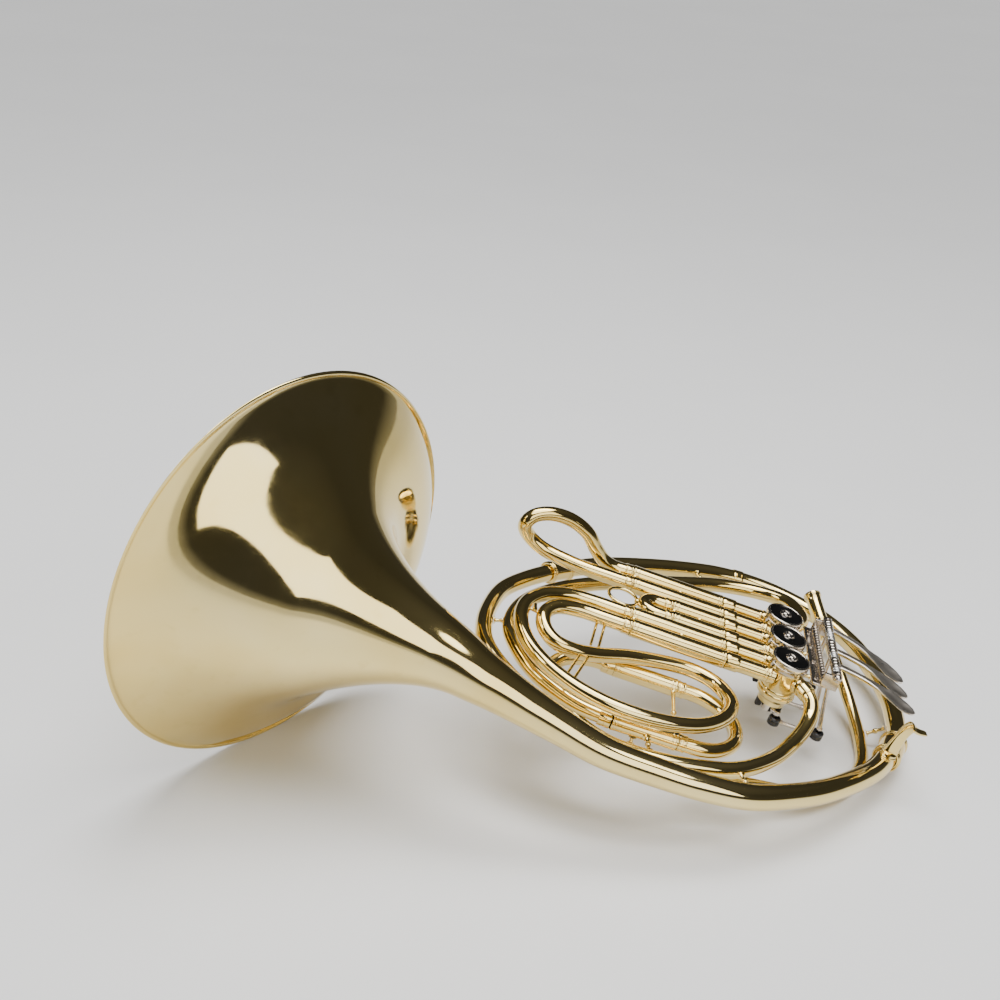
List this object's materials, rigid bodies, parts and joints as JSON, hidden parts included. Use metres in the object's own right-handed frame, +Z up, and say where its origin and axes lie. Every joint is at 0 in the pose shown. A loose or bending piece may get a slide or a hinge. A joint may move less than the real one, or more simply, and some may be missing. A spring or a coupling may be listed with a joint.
{
  "type": "french horn",
  "caption": "Single French horn with rotary valves, finger levers and pull-out tuning slides, resting on its bell rim and coil.",
  "frame": {"origin": "centre of the bounding box on the surface the horn lies on", "axes": "+X from the bell towards the finger levers, along the valve slides; +Y from the tail of the bell across the coil towards the first valve; +Z up"},
  "size_m": [0.5892, 0.3838, 0.3066],
  "materials": {
    "lacquered_brass": "clear lacquer, polished",
    "nickel_silver": "polished nickel silver",
    "dark_lacquer": "polished dark plated cap",
    "black_rubber": "matte",
    "black_plastic": "semi-gloss"
  },
  "bodies": {
    "horn_body": {"bearing_plate_1": "lacquered_brass", "bearing_plate_2": "lacquered_brass", "bearing_plate_3": "lacquered_brass", "bell": "lacquered_brass", "bell_ferrule": "lacquered_brass", "brace_bell_throat": "lacquered_brass", "brace_leadpipe_slide": "lacquered_brass", "brace_leadpipe_tail": "lacquered_brass", "brace_left": "lacquered_brass", "brace_tail_left": "lacquered_brass", "brace_tail_right": "lacquered_brass", "brace_top": "lacquered_brass", "brace_tuning": "lacquered_brass", "bracket_strut_2": "lacquered_brass", "bracket_strut_3": "lacquered_brass", "branch_ferrule": "lacquered_brass", "bumper_1": "black_rubber", "bumper_2": "black_rubber", "bumper_3": "black_rubber", "finger_hook": "lacquered_brass", "first_slide_sleeves": "lacquered_brass", "hinge_bracket": "nickel_silver", "hinge_rod": "nickel_silver", "inlet_branch": "lacquered_brass", "leadpipe": "lacquered_brass", "lever_spring_1": "nickel_silver", "lever_spring_2": "nickel_silver", "lever_spring_3": "nickel_silver", "mouthpiece_receiver": "lacquered_brass", "outer_branch": "lacquered_brass", "second_slide_sleeves": "lacquered_brass", "third_slide_sleeves": "lacquered_brass", "tuning_slide_sleeves": "lacquered_brass", "valve_branch": "lacquered_brass", "valve_cap_1": "dark_lacquer", "valve_cap_2": "dark_lacquer", "valve_cap_3": "dark_lacquer", "valve_casing_1": "lacquered_brass", "valve_casing_2": "lacquered_brass", "valve_casing_3": "lacquered_brass"},
    "first_slide": {"first_slide": "lacquered_brass"},
    "second_slide": {"second_slide": "lacquered_brass"},
    "third_slide": {"third_slide": "lacquered_brass"},
    "tuning_slide": {"tuning_slide": "lacquered_brass"},
    "lever_1": {"lever_1": "nickel_silver"},
    "link_rod_1": {"link_rod_1": "black_plastic"},
    "rotor_1": {"rotor_1": "lacquered_brass", "stop_arm_1": "nickel_silver"},
    "lever_2": {"lever_2": "nickel_silver"},
    "link_rod_2": {"link_rod_2": "black_plastic"},
    "rotor_2": {"rotor_2": "lacquered_brass", "stop_arm_2": "nickel_silver"},
    "lever_3": {"lever_3": "nickel_silver"},
    "link_rod_3": {"link_rod_3": "black_plastic"},
    "rotor_3": {"rotor_3": "lacquered_brass", "stop_arm_3": "nickel_silver"}
  },
  "joints": [
    {"name": "first_slide_pull", "type": "slide", "parent": "horn_body", "child": "first_slide", "axis": [-0.9683, 0, 0.2499], "range_m": [0, 0.04]},
    {"name": "second_slide_pull", "type": "slide", "parent": "horn_body", "child": "second_slide", "axis": [-0.9683, 0, 0.2499], "range_m": [0, 0.022]},
    {"name": "third_slide_pull", "type": "slide", "parent": "horn_body", "child": "third_slide", "axis": [-0.9683, 0, 0.2499], "range_m": [0, 0.04]},
    {"name": "tuning_slide_pull", "type": "slide", "parent": "horn_body", "child": "tuning_slide", "axis": [0.9683, 0, -0.2499], "range_m": [0, 0.02]},
    {"name": "lever_1_press", "type": "hinge", "parent": "horn_body", "child": "lever_1", "pos_m": [0.2272, 0.03518, 0.07648], "axis": [0.0055, 0.9998, 0.0211], "range_deg": [0, 15], "stiffness_Nm_per_rad": 0.12, "springref_deg": -25.78},
    {"name": "link_rod_1_slide", "type": "slide", "parent": "horn_body", "child": "link_rod_1", "axis": [-0.9683, 0, 0.2499], "range_m": [0, 0.0142]},
    {"name": "rotor_1_turn", "type": "hinge", "parent": "horn_body", "child": "rotor_1", "pos_m": [0.18703, 0.06945, 0.06489], "axis": [0.2498, -0.0218, 0.968], "range_deg": [-90.2, 0]},
    {"name": "lever_2_press", "type": "hinge", "parent": "horn_body", "child": "lever_2", "pos_m": [0.2272, 0.03518, 0.07648], "axis": [0.0055, 0.9998, 0.0211], "range_deg": [0, 15], "stiffness_Nm_per_rad": 0.12, "springref_deg": -25.78},
    {"name": "link_rod_2_slide", "type": "slide", "parent": "horn_body", "child": "link_rod_2", "axis": [-0.9683, 0, 0.2499], "range_m": [0, 0.0142]},
    {"name": "rotor_2_turn", "type": "hinge", "parent": "horn_body", "child": "rotor_2", "pos_m": [0.18685, 0.03566, 0.06417], "axis": [0.2498, -0.0218, 0.968], "range_deg": [-90.2, 0]},
    {"name": "lever_3_press", "type": "hinge", "parent": "horn_body", "child": "lever_3", "pos_m": [0.2272, 0.03518, 0.07648], "axis": [0.0055, 0.9998, 0.0211], "range_deg": [0, 15], "stiffness_Nm_per_rad": 0.12, "springref_deg": -25.78},
    {"name": "link_rod_3_slide", "type": "slide", "parent": "horn_body", "child": "link_rod_3", "axis": [-0.9683, 0, 0.2499], "range_m": [0, 0.0142]},
    {"name": "rotor_3_turn", "type": "hinge", "parent": "horn_body", "child": "rotor_3", "pos_m": [0.18666, 0.00187, 0.06346], "axis": [0.2498, -0.0218, 0.968], "range_deg": [-90.2, 0]}
  ],
  "couplings": [
    {"joint": "link_rod_1_slide", "follows": "lever_1_press", "m_per_rad": 0.054},
    {"joint": "rotor_1_turn", "follows": "lever_1_press", "ratio": -6},
    {"joint": "link_rod_2_slide", "follows": "lever_2_press", "m_per_rad": 0.054},
    {"joint": "rotor_2_turn", "follows": "lever_2_press", "ratio": -6},
    {"joint": "link_rod_3_slide", "follows": "lever_3_press", "m_per_rad": 0.054},
    {"joint": "rotor_3_turn", "follows": "lever_3_press", "ratio": -6}
  ]
}
